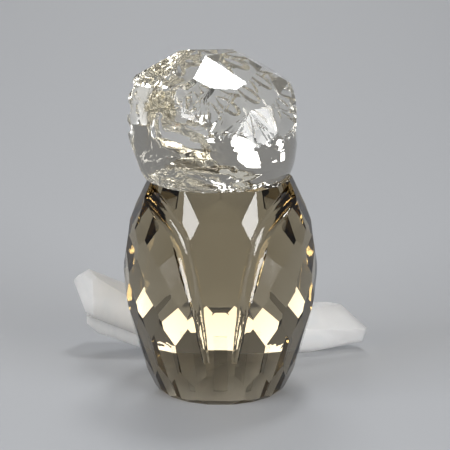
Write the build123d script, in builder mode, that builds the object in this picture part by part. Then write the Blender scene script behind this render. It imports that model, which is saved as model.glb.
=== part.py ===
from build123d import *
import os
from math import cos, radians, sin

# A cut-crystal owl that stands on its own flat base behind a frosted crystal branch.
# The bird faces -Y, +X is its left, and the origin is the centre of the base on the ground.

# Driving dimensions, in millimetres and degrees
TOTAL_HEIGHT = 55.6
BODY_HEIGHT = 35.6
FILM = 0.1  # thickness of the cured adhesive between two cut faces

# Body
BODY_BLANK_RADIUS = 17.0
BELLY_TILT = -30.0  # the flat face that the branch is bonded to overhangs it
BELLY_REACH = 5.8  # and meets the ground this far in front of the middle
GROOVE_RADIUS = 1.9
GROOVE_WAIST = (0.55, 0.88)  # share of the groove's length, and of its radius there
GROOVE_END_RADIUS = 0.7

# Head
HEAD_TURN = 42.0  # the head looks over the bird's left shoulder
HEAD_CENTRE = (0.6, 0.0, 44.0)  # the middle that the flat cuts are measured from
FACE_SPLAY = 18.0  # each half of the face turns this far to its side
FACE_REACH = 13.0  # from the head's axis to the ridge between the two halves
EYE_RADIUS = 2.3
EYE_HEIGHT = 1.5
EYE_SPACING = 5.7  # from the ridge to the middle of one eye
EYE_LEVEL = 45.0

# Branch and feet
BRANCH_LEFT_END = 24.8
BRANCH_RIGHT_END = 25.2
BRANCH_BACK = 8.0
BRANCH_FRONT = 21.8
SEAT_HEIGHT = 7.4  # flat on top of the branch, where the feet stand
FOOT_SPACING = 5.2
FOOT_LINE = 15.8  # how far in front of the middle the feet stand
ANKLE_RADIUS = 1.5
TOE_FAN = 26.0  # angle between neighbouring toes

# Tiers of flat cuts round the body: tilt, reach, height, number of facets, first azimuth
BODY_TIERS = (
    (20.0, 11.7, 35.0, 18, 90.0),
    (8.0, 14.9, 25.0, 18, 100.0),
    (0.0, 15.3, 19.0, 18, 90.0),
    (-8.5, 14.8, 14.1, 18, 100.0),
    (-15.5, 13.6, 9.0, 18, 90.0),
    (-23.0, 11.1, 1.6, 18, 100.0),
    (-45.0, 10.1, 0.0, 18, 90.0),
)
# Broader cuts on the back, two on the wings and the rest down the middle: azimuth, tilt, reach, height
BACK_FACETS = (
    (50.0, 18.0, 11.6, 35.0),
    (130.0, 18.0, 11.6, 35.0),
    (90.0, 30.0, 10.2, 35.6),
    (90.0, 11.5, 12.75, 31.0),
    (90.0, -12.0, 15.3, 17.3),
    (90.0, -24.0, 12.9, 6.2),
)
# Rows of cuts on the breast: tilt, reach, height, angles to either side of straight ahead
BREAST_ROWS = (
    (-29.0, 14.7, 14.6, (30.0, 54.0)),
    (-16.0, 15.05, 18.9, (12.0, 38.0, 64.0)),
    (-2.0, 15.15, 21.5, (0.0, 25.0, 50.0, 75.0)),
    (13.0, 14.5, 25.8, (12.0, 38.0, 64.0)),
    (26.0, 12.75, 31.2, (0.0, 25.0, 50.0, 75.0)),
)

# Path of the middle of the left groove's round cutter, from the shoulder down to the tail
LEFT_GROOVE = (
    (12.6, 4.4, 34.4),
    (9.9, 9.3, 32.4),
    (7.1, 12.9, 29.3),
    (5.2, 14.8, 23.9),
    (3.7, 15.75, 16.8),
    (2.8, 14.6, 11.2),
    (2.3, 13.75, 8.0),
)

# Small notch at the foot of the tail, a triangle in plan that narrows upwards
NOTCH_REACH = 10.6
NOTCH_HALF_WIDTH = 0.9
NOTCH_DEPTH = 1.3
NOTCH_HEIGHT = 2.4
NOTCH_TAPER = 16.0

# Outline of the head in level slices: height, half width, reach to the back, reach to the front
HEAD_SLICES = (
    (BODY_HEIGHT + FILM, 12.1, 10.4, 7.2),
    (38.0, 12.4, 11.4, 9.4),
    (41.0, 12.4, 12.0, 11.8),
    (45.0, 12.2, 12.2, 13.6),
    (48.0, 11.9, 11.9, 13.6),
    (50.5, 11.2, 11.1, 13.0),
    (52.6, 9.8, 9.6, 11.4),
    (54.3, 7.6, 7.3, 8.6),
    (55.2, 5.6, 5.2, 6.0),
    (TOTAL_HEIGHT, 4.2, 3.9, 4.4),
)
FRONT_SQUARENESS = 0.92

# Flat cuts on the head: azimuth, tilt, distance from the head's centre
HEAD_FACETS = (
    (101.0, 62.0, 11.3),  # crown, towards the back
    (124.0, 67.5, 11.2),  # crown, right
    (142.0, 44.0, 11.8),
    (31.0, 60.0, 11.5),  # crown, left
    (120.0, 35.0, 12.05),
    (74.0, 37.0, 12.1),
    (95.0, 25.5, 11.6),  # the broad one in the middle of the back
    (123.0, 12.0, 12.1),
    (56.0, 24.0, 12.5),
    (153.0, 15.0, 12.1),
    (20.0, 26.0, 14.0),
    (200.0, 58.0, 11.4),
    (270.0, 68.0, 11.3),
    (335.0, 58.0, 12.8),
)

# The adhesive under the head is an ellipse, set back from the head's axis
NECK_BOND_RADII = (10.4, 7.0)
NECK_BOND_SETBACK = 1.9

# Leaf-shaped cuts that fan out round each eye
CUTS_ROUND_EYE = 9
CUT_SPREAD = 124.0  # they fan out this far to each side of the eye's outer corner
CUT_LENGTH = 6.8
CUT_DEPTH = 1.0
CUT_RING_RADIUS = 6.2

# Beak, standing on a flat of its own: its outline is a long hexagon, point down
BEAK_TILT = -8.0
BEAK_REACH = 12.4
BEAK_LEVEL = 42.4
BEAK_OUTLINE = ((0, 2.3), (1.2, 1.0), (0.9, -0.9), (0, -2.7), (-0.9, -0.9), (-1.2, 1.0))
BEAK_DEPTH = 1.6
BEAK_TAPER = 26.0

# Flat cuts on the log: azimuth, tilt, a point of the cut
LOG_LEFT_END = 8.0  # where the log stops and only the prong goes on
LOG_FACETS = (
    (112, 38, (-14.0, -13.2, 4.6)),
    (106, -18, (-14.0, -13.2, 4.6)),
    (180, 30, (-25.1, -17.0, 3.6)),
    (180, -24, (-25.1, -17.0, 3.6)),
    (180, 61, (-20.6, -17.0, 7.2)),
    (180, -83, (-15.0, -17.0, 0.0)),
    (-90, 42, (0.0, -19.3, 7.4)),
    (-92, -34, (0.0, -21.4, 3.2)),
    (-118, 12, (-16.0, -20.8, 5.0)),
    (-150, -8, (-23.2, -18.8, 4.0)),
)

# The same for the prong that rises from the log's left end
PRONG_ROOT = 2.0
PRONG_HEIGHT = 14.0
PRONG_FACETS = (
    (180, 61, (16.2, -17.0, 10.7)),
    (88, 14, (17.0, -13.6, 8.0)),
    (48, 10, (20.9, -14.0, 10.0)),
    (0, -24, (24.5, -17.0, 11.8)),
    (0, 52, (24.5, -17.0, 11.8)),
    (60, 52, (21.6, -15.2, 12.7)),
    (-90, 34, (16.0, -20.2, 9.6)),
    (-88, -30, (16.0, -21.2, 6.0)),
    (-40, 4, (22.2, -20.4, 10.0)),
)

# The same for the stub bonded under the prong, whose top is one slope
STUB_ROOT = 9.0
STUB_END = 22.2
STUB_TOP_TILT = -70.0
STUB_TOP_POINT = (17.0, 0.0, 5.2)
STUB_FACETS = (
    (0, -72, (13.4, -15.0, 1.5)),
    (0, -48, (21.3, -15.0, 4.6)),
    (78, -14, (17.0, -13.2, 4.0)),
    (-84, -20, (16.0, -19.6, 4.0)),
    (-40, 0, (21.2, -18.4, 4.0)),
)

# Adhesive patches, each a point near its middle and a size
STUB_BOND_MIDDLE = (16.5, -16.4, 5.0)
STUB_BOND_SIZE = (4.2, 5.5)
BRANCH_BOND_MIDDLE = (0.0, -8.8, 6.0)
BRANCH_BOND_SIZE = (9.0, 2.2)

# Middle line and radius of one toe: reach from the ankle, rise, radius
TOE_STATIONS = ((0.4, 1.0, 1.15), (2.7, 1.1, 0.9), (4.6, 0.3, 0.35))
ANKLE_RISE = 0.7


def facing(azimuth, tilt):
    """The direction that faces azimuth and is tilted up by tilt."""
    a, t = radians(azimuth), radians(tilt)
    return Vector(cos(a) * cos(t), sin(a) * cos(t), sin(t))


def round_cut(azimuth, tilt, reach, height):
    """A cutting plane on the body: it passes through a point at reach from the axis, and height."""
    a = radians(azimuth)
    return Plane(origin=(reach * cos(a), reach * sin(a), height), z_dir=facing(azimuth, tilt))


def dome_cut(azimuth, tilt, distance):
    """A cutting plane on the head, at a distance from the head's centre."""
    normal = facing(azimuth, tilt)
    return Plane(origin=Vector(*HEAD_CENTRE) + normal * distance, z_dir=normal)


def branch_cut(azimuth, tilt, point):
    """A cutting plane on the branch, through a point."""
    return Plane(origin=point, z_dir=facing(azimuth, tilt))


def cut_facets(planes):
    """Grinds the part being built flat at each plane, keeping what is behind it."""
    for plane in planes:
        split(bisect_by=plane, keep=Keep.BOTTOM)


def save(part, name):
    part.label = name
    export_step(part, f"parts/{name}.step")
    print(f"{name}: {len(part.solids())} solid, {part.volume:.2f} mm3")


os.makedirs("parts", exist_ok=True)

# The face of the body that the branch is bonded to
belly_plane = round_cut(-90, BELLY_TILT, BELLY_REACH, 0.0)

# --- Body: a faceted drop with a flat top, a flat base and two wing grooves down the back
with BuildPart() as groove_cutter:
    with BuildLine() as groove_path:
        Spline(*LEFT_GROOVE)
    with BuildSketch(Plane(groove_path.line @ 0, z_dir=groove_path.line % 0)) as groove_start:
        Circle(GROOVE_RADIUS)
    waist, narrowing = GROOVE_WAIST
    with BuildSketch(Plane(groove_path.line @ waist, z_dir=groove_path.line % waist)) as groove_middle:
        Circle(GROOVE_RADIUS * narrowing)
    with BuildSketch(Plane(groove_path.line @ 1, z_dir=groove_path.line % 1)) as groove_end:
        Circle(GROOVE_END_RADIUS)
    sweep(
        sections=[groove_start.sketch, groove_middle.sketch, groove_end.sketch],
        path=groove_path.wire(),
        multisection=True,
    )

with BuildPart() as body_crystal:
    Cylinder(BODY_BLANK_RADIUS, BODY_HEIGHT, align=(Align.CENTER, Align.CENTER, Align.MIN))
    for tilt, reach, height, count, first in BODY_TIERS:
        step = 360.0 / count
        cut_facets(round_cut(first + i * step, tilt, reach, height) for i in range(count))
    cut_facets(round_cut(*facet) for facet in BACK_FACETS)
    for tilt, reach, height, angles in BREAST_ROWS:
        cut_facets(round_cut(way * angle - 90, tilt, reach, height) for angle in angles for way in (1, -1))
    cut_facets([belly_plane])
    add(groove_cutter.part, mode=Mode.SUBTRACT)
    add(mirror(groove_cutter.part, about=Plane.YZ, mode=Mode.PRIVATE), mode=Mode.SUBTRACT)
    with BuildSketch():
        with Locations((0, NOTCH_REACH)):
            wide, deep = NOTCH_HALF_WIDTH, NOTCH_DEPTH
            Polygon((-wide, deep), (wide, deep), (0, -deep), align=None)
    extrude(amount=NOTCH_HEIGHT, taper=NOTCH_TAPER, mode=Mode.SUBTRACT)
save(body_crystal.part, "body_crystal")


# --- Head: a smooth dome with a squarish face, then flat cuts above and radial cuts in the face
turn = radians(HEAD_TURN)
side = Vector(cos(turn), sin(turn), 0)  # towards the left side of the head
forward = Vector(sin(turn), -cos(turn), 0)


def head_slice(height, half_width, back, front):
    """A level outline of the head: half an ellipse behind, a squarish curve in front."""
    level = Plane(origin=(0, 0, height), x_dir=side, z_dir=(0, 0, 1))
    wide, deep = FRONT_SQUARENESS * half_width, FRONT_SQUARENESS * front
    with BuildSketch(level) as slice_face:
        with BuildLine():
            EllipticalCenterArc((0, 0), half_width, back, start_angle=0, arc_size=180)
            Bezier((-half_width, 0), (-half_width, -deep), (-wide, -front), (0, -front))
            Bezier((0, -front), (wide, -front), (half_width, -deep), (half_width, 0))
        make_face()
    return slice_face.sketch


def half_face(way):
    """The plane of one half of the face, on the side that way (1 or -1) points to."""
    a = radians(FACE_SPLAY)
    normal = side * (way * sin(a)) + forward * cos(a)
    along = side * (way * cos(a)) - forward * sin(a)
    ridge = forward * FACE_REACH + Vector(0, 0, EYE_LEVEL)
    return Plane(origin=ridge, x_dir=along, z_dir=normal)


def shifted(plane, x):
    """The same plane with its origin moved along its x direction."""
    return Plane(origin=plane.from_local_coords((x, 0, 0)), x_dir=plane.x_dir, z_dir=plane.z_dir)


beak_normal = forward * cos(radians(BEAK_TILT)) + Vector(0, 0, sin(radians(BEAK_TILT)))
beak_point = forward * BEAK_REACH + Vector(0, 0, BEAK_LEVEL)
beak_seat = Plane(origin=beak_point, x_dir=side, z_dir=beak_normal)
eye_seats = {
    "left": shifted(half_face(1), EYE_SPACING),
    "right": shifted(half_face(-1), EYE_SPACING),
}

with BuildPart() as leaf_cutter:
    with BuildSketch():
        with BuildLine():
            ThreePointArc((-CUT_LENGTH / 2, 0), (0, CUT_DEPTH), (CUT_LENGTH / 2, 0))
            Line((CUT_LENGTH / 2, 0), (-CUT_LENGTH / 2, 0))
        make_face()
    revolve(axis=Axis.X)

with BuildPart() as head_crystal:
    loft(sections=[head_slice(*size) for size in HEAD_SLICES])
    cut_facets(dome_cut(*facet) for facet in HEAD_FACETS)
    cut_facets([half_face(1), half_face(-1), beak_seat])
    for seat in eye_seats.values():
        with Locations(seat):
            with PolarLocations(CUT_RING_RADIUS, CUTS_ROUND_EYE, -CUT_SPREAD, 2 * CUT_SPREAD):
                add(leaf_cutter.part, mode=Mode.SUBTRACT)
save(head_crystal.part, "head_crystal")

# --- Adhesive film between the neck and the head
neck_middle = Vector(0, 0, BODY_HEIGHT) - forward * NECK_BOND_SETBACK
with BuildPart() as neck_bond:
    with BuildSketch(Plane(origin=neck_middle, x_dir=side, z_dir=(0, 0, 1))):
        Ellipse(*NECK_BOND_RADII)
    extrude(amount=FILM)
save(neck_bond.part, "neck_bond")

# --- Eyes: dark domed stones, each on its own film
for name, seat in eye_seats.items():
    with BuildPart(seat) as eye_bond:
        Cylinder(EYE_RADIUS - FILM, FILM, align=(Align.CENTER, Align.CENTER, Align.MIN))
    save(eye_bond.part, f"eye_{name}_bond")

    dome_radius = (EYE_RADIUS**2 + EYE_HEIGHT**2) / (2 * EYE_HEIGHT)
    with BuildPart(seat.offset(FILM)) as eye:
        with Locations((0, 0, EYE_HEIGHT - dome_radius)):
            Sphere(dome_radius)
        split(bisect_by=seat.offset(FILM), keep=Keep.TOP)
    save(eye.part, f"eye_{name}")

# --- Beak: a small faceted drop on a flat ground across the ridge of the face
with BuildPart() as beak_bond:
    with BuildSketch(beak_seat):
        Polygon(*BEAK_OUTLINE, align=None)
        offset(amount=-FILM, mode=Mode.REPLACE)
    extrude(amount=FILM)
save(beak_bond.part, "beak_bond")

with BuildPart() as beak:
    with BuildSketch(beak_seat.offset(FILM)):
        Polygon(*BEAK_OUTLINE, align=None)
    extrude(amount=BEAK_DEPTH, taper=BEAK_TAPER)
save(beak.part, "beak")

# --- Branch: a ground crystal log that lies in front of the body, its left end rising
log_back = belly_plane.offset(FILM)
stub_top = Plane(origin=STUB_TOP_POINT, x_dir=(0, 1, 0), z_dir=facing(0, STUB_TOP_TILT))
CORNER = (Align.MIN, Align.MIN, Align.MIN)

with BuildPart() as prong:
    with Locations((PRONG_ROOT, -BRANCH_FRONT, 0)):
        Box(BRANCH_LEFT_END - PRONG_ROOT, BRANCH_FRONT - BRANCH_BACK, PRONG_HEIGHT, align=CORNER)
    split(bisect_by=log_back, keep=Keep.TOP)
    cut_facets([stub_top])
    cut_facets(branch_cut(*facet) for facet in PRONG_FACETS)

with BuildPart() as branch_log:
    with Locations((-BRANCH_RIGHT_END, -BRANCH_FRONT, 0)):
        Box(BRANCH_RIGHT_END + LOG_LEFT_END, BRANCH_FRONT - BRANCH_BACK, SEAT_HEIGHT, align=CORNER)
    split(bisect_by=log_back, keep=Keep.TOP)
    cut_facets(branch_cut(*facet) for facet in LOG_FACETS)
    add(prong.part)
save(branch_log.part, "branch_log")

with BuildPart() as branch_stub:
    with Locations((STUB_ROOT, -BRANCH_FRONT, 0)):
        Box(STUB_END - STUB_ROOT, BRANCH_FRONT - BRANCH_BACK, SEAT_HEIGHT, align=CORNER)
    split(bisect_by=log_back, keep=Keep.TOP)
    split(bisect_by=stub_top.offset(FILM), keep=Keep.TOP)
    cut_facets(branch_cut(*facet) for facet in STUB_FACETS)
save(branch_stub.part, "branch_stub")

with BuildPart() as stub_bond:
    with BuildSketch(stub_top):
        with Locations(tuple(stub_top.to_local_coords(Vector(*STUB_BOND_MIDDLE)))[:2]):
            Rectangle(*STUB_BOND_SIZE)
    extrude(amount=FILM)
save(stub_bond.part, "stub_bond")

with BuildPart() as branch_bond:
    with BuildSketch(belly_plane):
        with Locations(tuple(belly_plane.to_local_coords(Vector(*BRANCH_BOND_MIDDLE)))[:2]):
            Rectangle(*BRANCH_BOND_SIZE)
    extrude(amount=FILM)
save(branch_bond.part, "branch_bond")

# --- Feet: cast metal, three toes each, bonded to the flat on top of the branch
foot_floor = Plane.XY.offset(SEAT_HEIGHT + FILM)
for name, way in (("left", 1), ("right", -1)):
    ankle = Vector(way * FOOT_SPACING, -FOOT_LINE, SEAT_HEIGHT)
    with BuildPart(Plane.XY.offset(SEAT_HEIGHT)) as foot_bond:
        with Locations((ankle.X, ankle.Y)):
            Cylinder(ANKLE_RADIUS - 2 * FILM, FILM, align=(Align.CENTER, Align.CENTER, Align.MIN))
    save(foot_bond.part, f"foot_{name}_bond")

    with BuildPart() as foot:
        with Locations(ankle + Vector(0, 0, ANKLE_RISE)):
            Sphere(ANKLE_RADIUS)
        for toe in (-1, 0, 1):
            heading = radians(-90 + toe * TOE_FAN)
            away = Vector(cos(heading), sin(heading), 0)
            points = [ankle + away * reach + Vector(0, 0, rise) for reach, rise, _ in TOE_STATIONS]
            with BuildLine() as toe_path:
                Spline(*points)
            rings = []
            for share, (_, _, radius) in zip((0, 0.5, 1), TOE_STATIONS):
                across = Plane(toe_path.line @ share, z_dir=toe_path.line % share)
                with BuildSketch(across) as ring:
                    Circle(radius)
                rings.append(ring.sketch)
            sweep(sections=rings, path=toe_path.wire(), multisection=True)
        split(bisect_by=foot_floor, keep=Keep.TOP)
    save(foot.part, f"foot_{name}")
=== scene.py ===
import math

import bmesh
import bpy
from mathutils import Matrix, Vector


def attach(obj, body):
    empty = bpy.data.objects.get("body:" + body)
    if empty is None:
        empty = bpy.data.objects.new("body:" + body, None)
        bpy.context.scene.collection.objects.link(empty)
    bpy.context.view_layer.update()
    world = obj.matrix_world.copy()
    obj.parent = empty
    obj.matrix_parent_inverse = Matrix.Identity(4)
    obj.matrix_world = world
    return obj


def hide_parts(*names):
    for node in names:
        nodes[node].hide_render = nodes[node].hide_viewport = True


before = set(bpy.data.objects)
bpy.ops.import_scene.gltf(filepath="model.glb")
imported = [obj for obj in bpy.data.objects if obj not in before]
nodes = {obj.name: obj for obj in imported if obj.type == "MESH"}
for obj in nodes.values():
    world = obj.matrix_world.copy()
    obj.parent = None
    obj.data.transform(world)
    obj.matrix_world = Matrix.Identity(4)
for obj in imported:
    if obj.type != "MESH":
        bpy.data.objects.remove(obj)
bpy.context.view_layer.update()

MM = 0.001
BODY = "root"
WELD = 0.001 * MM  # vertices nearer than this are one vertex
FACET_ANGLE = math.radians(5)  # a sharper fold than this is a cut edge
FLAT_ANGLE = math.radians(0.05)  # faces that fold less than this become one face
FLAT_DOT = 0.9999  # normals that agree at least this well are on one plane
EDGE_WIDTH = 0.06 * MM  # the softened edge between two facets
FILM_GAP = 0.012 * MM  # keeps two faces that touch from lying in the same place
POLISH_SCALE = 400.0  # about one unevenness every 2.5 mm
POLISH_DEPTH = 0.004 * MM
RIPPLE_SCALE = (150, 150, 420)
CAMERA_ELEVATION = math.radians(17.5)
CAMERA_DISTANCE = 0.5652
CAMERA_LENS = 282.4
CAMERA_SENSOR = 36.0
FLOOR_SIZE = 8.0
ROOM_LIGHT = 0.2
AIM = Vector((-0.73 * MM, 0.68 * MM, 27.15 * MM))


# --- Materials -------------------------------------------------------------------------------
def new_material(name):
    """A node material: its tree and its Principled shader."""
    material = bpy.data.materials.new(name)
    material.use_nodes = True
    return material, material.node_tree, material.node_tree.nodes["Principled BSDF"]


def add_node(tree, kind, **inputs):
    """A node of that kind, with plain values on the inputs named."""
    node = tree.nodes.new(kind)
    for name, value in inputs.items():
        node.inputs[name.replace("_", " ")].default_value = value
    return node


def add_bump(tree, shader, height, distance, strength=1.0):
    """Feeds a height into the shader's normal."""
    bump = add_node(tree, "ShaderNodeBump", Distance=distance, Strength=strength)
    tree.links.new(height, bump.inputs["Height"])
    tree.links.new(bump.outputs["Normal"], shader.inputs["Normal"])
    return bump


def add_absorption(tree, colour, density):
    """Tints glass by the depth that light crosses."""
    absorption = add_node(tree, "ShaderNodeVolumeAbsorption", Density=density, Color=(*colour, 1))
    tree.links.new(absorption.outputs["Volume"], tree.nodes["Material Output"].inputs["Volume"])


def add_tone(tree, shader, factor, low, high, start, end):
    """Colours the surface from low to high as the factor goes from start to end."""
    tone = tree.nodes.new("ShaderNodeValToRGB")
    first, last = tone.color_ramp.elements
    first.position, last.position = start, end
    first.color = (*low, 1)
    last.color = (*high, 1)
    tree.links.new(factor, tone.inputs["Fac"])
    tree.links.new(tone.outputs["Color"], shader.inputs["Base Color"])


def glass(name, ior, colour, density, ripple=0.0):
    """Polished crystal: a faint unevenness from the wheel, and ripples where the surface is curved."""
    material, tree, shader = new_material(name)
    shader.inputs["Base Color"].default_value = (1, 1, 1, 1)
    shader.inputs["Transmission Weight"].default_value = 1.0
    shader.inputs["Roughness"].default_value = 0.0
    shader.inputs["IOR"].default_value = ior
    place = tree.nodes.new("ShaderNodeTexCoord")
    marks = add_node(tree, "ShaderNodeTexNoise", Scale=POLISH_SCALE, Detail=2.0)
    height = tree.nodes.new("ShaderNodeMath")
    height.operation = "MULTIPLY"
    height.inputs[1].default_value = POLISH_DEPTH
    tree.links.new(place.outputs["Object"], marks.inputs["Vector"])
    tree.links.new(marks.outputs["Fac"], height.inputs[0])
    if ripple > 0:
        stretch = add_node(tree, "ShaderNodeMapping", Scale=RIPPLE_SCALE)
        waves = add_node(tree, "ShaderNodeTexNoise", Scale=1.0, Detail=0.5, Roughness=0.3, Distortion=0.8)
        curved = tree.nodes.new("ShaderNodeAttribute")
        curved.attribute_name = "curved"
        depth = tree.nodes.new("ShaderNodeMath")
        depth.operation = "MULTIPLY"
        depth.inputs[1].default_value = ripple
        total = tree.nodes.new("ShaderNodeMath")
        total.operation = "MULTIPLY_ADD"
        tree.links.new(place.outputs["Object"], stretch.inputs["Vector"])
        tree.links.new(stretch.outputs["Vector"], waves.inputs["Vector"])
        tree.links.new(waves.outputs["Fac"], depth.inputs[0])
        tree.links.new(depth.outputs["Value"], total.inputs[0])
        tree.links.new(curved.outputs["Fac"], total.inputs[1])
        tree.links.new(height.outputs["Value"], total.inputs[2])
        height = total
    add_bump(tree, shader, height.outputs["Value"], 1.0)
    add_absorption(tree, colour, density)
    return material


def frosted_glass(name):
    """Ground crystal: light goes in and spreads, and the surface is a fine satin."""
    material, tree, shader = new_material(name)
    place = tree.nodes.new("ShaderNodeTexCoord")
    cloud = add_node(tree, "ShaderNodeTexNoise", Scale=95.0, Detail=3.0, Roughness=0.5, Distortion=1.5)
    add_tone(tree, shader, cloud.outputs["Fac"], (0.86, 0.88, 0.90), (0.99, 0.99, 0.99), 0.36, 0.6)
    grain = add_node(tree, "ShaderNodeTexNoise", Scale=9000.0, Detail=2.0)
    tree.links.new(place.outputs["Object"], cloud.inputs["Vector"])
    tree.links.new(place.outputs["Object"], grain.inputs["Vector"])
    shader.inputs["Roughness"].default_value = 0.32
    shader.inputs["IOR"].default_value = 1.5
    shader.inputs["Transmission Weight"].default_value = 0.35
    shader.inputs["Subsurface Weight"].default_value = 1.0
    shader.inputs["Subsurface Radius"].default_value = (1.0, 1.0, 1.0)
    shader.inputs["Subsurface Scale"].default_value = 4.0 * MM
    add_bump(tree, shader, grain.outputs["Fac"], 0.02 * MM)
    return material


def mottled(name, low, high, roughness, scale, grain, metallic=0.0, coat=0.0):
    """An opaque surface whose colour drifts between two tones, over a fine grain."""
    material, tree, shader = new_material(name)
    place = tree.nodes.new("ShaderNodeTexCoord")
    drift = add_node(tree, "ShaderNodeTexNoise", Scale=scale, Detail=5.0, Roughness=0.6)
    add_tone(tree, shader, drift.outputs["Fac"], low, high, 0.35, 0.7)
    fine = add_node(tree, "ShaderNodeTexNoise", Scale=scale * 9, Detail=2.0)
    tree.links.new(place.outputs["Object"], drift.inputs["Vector"])
    tree.links.new(place.outputs["Object"], fine.inputs["Vector"])
    shader.inputs["Roughness"].default_value = roughness
    shader.inputs["Metallic"].default_value = metallic
    shader.inputs["Coat Weight"].default_value = coat
    add_bump(tree, shader, fine.outputs["Fac"], grain)
    return material


# --- Pieces ----------------------------------------------------------------------------------
def connected_faces(start, seen):
    """The faces joined to start by edges, which are added to seen."""
    found, stack = [], [start]
    seen.add(start)
    while stack:
        face = stack.pop()
        found.append(face)
        for edge in face.edges:
            for other in edge.link_faces:
                if other not in seen:
                    seen.add(other)
                    stack.append(other)
    return found


def mark_curved(bm):
    """Sets the attribute "curved" to 1 on each CAD face that isn't a plane, before they are welded."""
    curved = bm.verts.layers.float.new("curved")
    seen = set()
    for start in bm.faces:
        if start in seen:
            continue
        island = connected_faces(start, seen)
        if any(face.normal.dot(island[0].normal) < FLAT_DOT for face in island):
            for face in island:
                for vert in face.verts:
                    vert[curved] = 1.0


def cut_piece(node, name, material, edge=EDGE_WIDTH):
    """A finished piece made from a CAD node: one closed skin with softened edges between facets."""
    mesh = nodes[node].data.copy()
    mesh.materials.clear()
    bm = bmesh.new()
    bm.from_mesh(mesh)
    mark_curved(bm)
    bmesh.ops.remove_doubles(bm, verts=bm.verts, dist=WELD)
    bmesh.ops.dissolve_limit(bm, angle_limit=FLAT_ANGLE, verts=bm.verts, edges=bm.edges)
    if edge:
        sharp = [e for e in bm.edges if len(e.link_faces) == 2 and e.calc_face_angle(0) > FACET_ANGLE]
        bmesh.ops.bevel(bm, geom=sharp, offset=edge, segments=1, affect="EDGES", clamp_overlap=True)
    for face in bm.faces:
        face.smooth = True
    bmesh.ops.triangulate(bm, faces=[f for f in bm.faces if len(f.verts) > 4])
    bm.to_mesh(mesh)
    bm.free()
    mesh.set_sharp_from_angle(angle=FACET_ANGLE)
    mesh.name = name
    mesh.materials.append(material)
    piece = bpy.data.objects.new(name, mesh)
    bpy.context.scene.collection.objects.link(piece)
    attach(piece, BODY)
    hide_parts(node)
    return piece


def film_piece(node, name, material):
    """An adhesive film, drawn in from its neighbours by a hair."""
    piece = cut_piece(node, name, material, edge=0)
    bm = bmesh.new()
    bm.from_mesh(piece.data)
    bm.normal_update()
    moves = [(v, v.normal.copy()) for v in bm.verts]
    for v, normal in moves:
        v.co -= normal * FILM_GAP
    bm.to_mesh(piece.data)
    bm.free()
    return piece


tinted = glass("smoky_gold_crystal", 1.56, (0.56, 0.46, 0.22), 66.0)
clear = glass("clear_crystal", 1.56, (0.94, 0.88, 0.70), 14.0, ripple=0.13 * MM)
frost = frosted_glass("frosted_crystal")
dark = mottled(
    "dark_stone", (0.006, 0.005, 0.004), (0.03, 0.022, 0.018), 0.08, 900, 0.002 * MM, coat=0.6
)
amber = mottled(
    "amber_stone", (0.36, 0.12, 0.02), (0.62, 0.28, 0.07), 0.12, 700, 0.002 * MM, coat=0.6
)
metal = mottled(
    "plated_metal", (0.62, 0.60, 0.56), (0.80, 0.78, 0.74), 0.22, 500, 0.004 * MM, metallic=1.0
)
film = glass("clear_adhesive", 1.5, (1, 1, 1), 0.0)

cut_piece("body_crystal", "body_glass", tinted)
cut_piece("head_crystal", "head_glass", clear)
cut_piece("branch_log", "log_glass", frost)
cut_piece("branch_stub", "stub_glass", frost)
for name in nodes:
    if name.endswith("_bond"):
        film_piece(name, name.replace("_bond", "_film"), film)
OPAQUE = {"eye_left": dark, "eye_right": dark, "beak": amber, "foot_left": metal, "foot_right": metal}
for name, material in OPAQUE.items():
    nodes[name].data.materials.clear()
    nodes[name].data.materials.append(material)


# --- Studio ----------------------------------------------------------------------------------
def softbox(name, target, direction, distance, size, radiance):
    """A plain white soft light that shines on target from that direction, as bright as radiance."""
    light = bpy.data.lights.new(name, "AREA")
    light.shape = "RECTANGLE"
    light.size, light.size_y = size
    light.energy = radiance * math.pi * size[0] * size[1]
    lamp = bpy.data.objects.new(name, light)
    away = Vector(direction).normalized()
    lamp.location = Vector(target) + away * distance
    lamp.rotation_euler = away.to_track_quat("Z", "Y").to_euler()
    lamp.visible_camera = False
    bpy.context.scene.collection.objects.link(lamp)


crown = Vector((-0.2, 5.5, 53.5)) * MM
softbox("top_softbox", crown, (-0.126, -0.305, 0.944), 0.40, (0.065, 0.065), 24)
softbox("right_softbox", Vector((-6, 10, 47)) * MM, (-0.90, 0.43, 0.08), 0.7, (0.18, 0.3), 9)
softbox("left_softbox", Vector((8, 8, 47)) * MM, (0.86, 0.33, 0.39), 0.7, (0.18, 0.18), 9)
softbox("upper_softbox", Vector((0, -8, 20)) * MM, (0.1, -0.72, 0.68), 0.7, (0.24, 0.16), 5)
softbox("key_softbox", Vector((0, 0, 10)) * MM, (-0.66, 0.70, 0.27), 0.6, (0.26, 0.22), 11)
softbox("fill_softbox", Vector((0, 0, 10)) * MM, (0.72, 0.64, 0.27), 0.6, (0.26, 0.22), 10)

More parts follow.
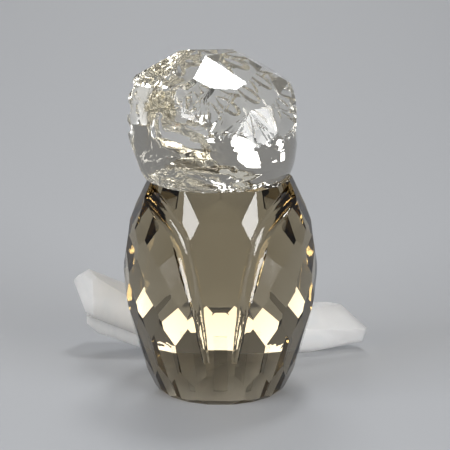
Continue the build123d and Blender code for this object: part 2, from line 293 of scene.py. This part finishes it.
# Low soft boxes in front of the bird, which light the far side of the crystal and show through it:
# azimuth, elevation, width and height, in degrees as seen from the bird
FRONT_SOFTBOXES = (
    (0, 8.5, 14, 9),
    (-18, 5, 4, 8),
    (18, 5, 4, 8),
    (-26, 10, 4, 5),
    (26, 10, 4, 5),
    (-12, 3, 2, 3),
    (12, 3, 2, 3),
    (-44, 4, 5, 8),
    (44, 4, 5, 8),
)
FRONT_DISTANCE = 0.8
FRONT_RADIANCE = 3.2
FRONT_TARGET = Vector((0, -6, 14)) * MM
for number, (azimuth, elevation, width, height) in enumerate(FRONT_SOFTBOXES):
    turn, rise = math.radians(azimuth), math.radians(elevation)
    towards = (math.sin(turn) * math.cos(rise), -math.cos(turn) * math.cos(rise), math.sin(rise))
    size = [2 * FRONT_DISTANCE * math.tan(math.radians(angle) / 2) for angle in (width, height)]
    softbox(f"front_softbox_{number}", FRONT_TARGET, towards, FRONT_DISTANCE, size, FRONT_RADIANCE)

world = bpy.data.worlds.new("studio")
bpy.context.scene.world = world
world.use_nodes = True
world.node_tree.nodes["Background"].inputs["Color"].default_value = (1, 1, 1, 1)
world.node_tree.nodes["Background"].inputs["Strength"].default_value = ROOM_LIGHT

bpy.ops.mesh.primitive_plane_add(size=FLOOR_SIZE, location=(0, 0, 0))
floor = bpy.context.object
floor.name = "floor"
floor_material, _, floor_shader = new_material("pale_floor")
floor_shader.inputs["Base Color"].default_value = (0.50, 0.515, 0.54, 1)
floor_shader.inputs["Roughness"].default_value = 0.6
floor.data.materials.append(floor_material)

camera = bpy.data.cameras.new("camera")
camera.lens = CAMERA_LENS
camera.sensor_width = CAMERA_SENSOR
camera.clip_start = 0.01
eye = bpy.data.objects.new("camera", camera)
back = Vector((0, math.cos(CAMERA_ELEVATION), math.sin(CAMERA_ELEVATION)))
eye.location = AIM + back * CAMERA_DISTANCE
eye.rotation_euler = back.to_track_quat("Z", "Y").to_euler()
bpy.context.scene.collection.objects.link(eye)
bpy.context.scene.camera = eye

scene = bpy.context.scene
scene.cycles.max_bounces = 32
scene.cycles.transmission_bounces = 32
scene.cycles.glossy_bounces = 16
scene.view_settings.view_transform = "Standard"
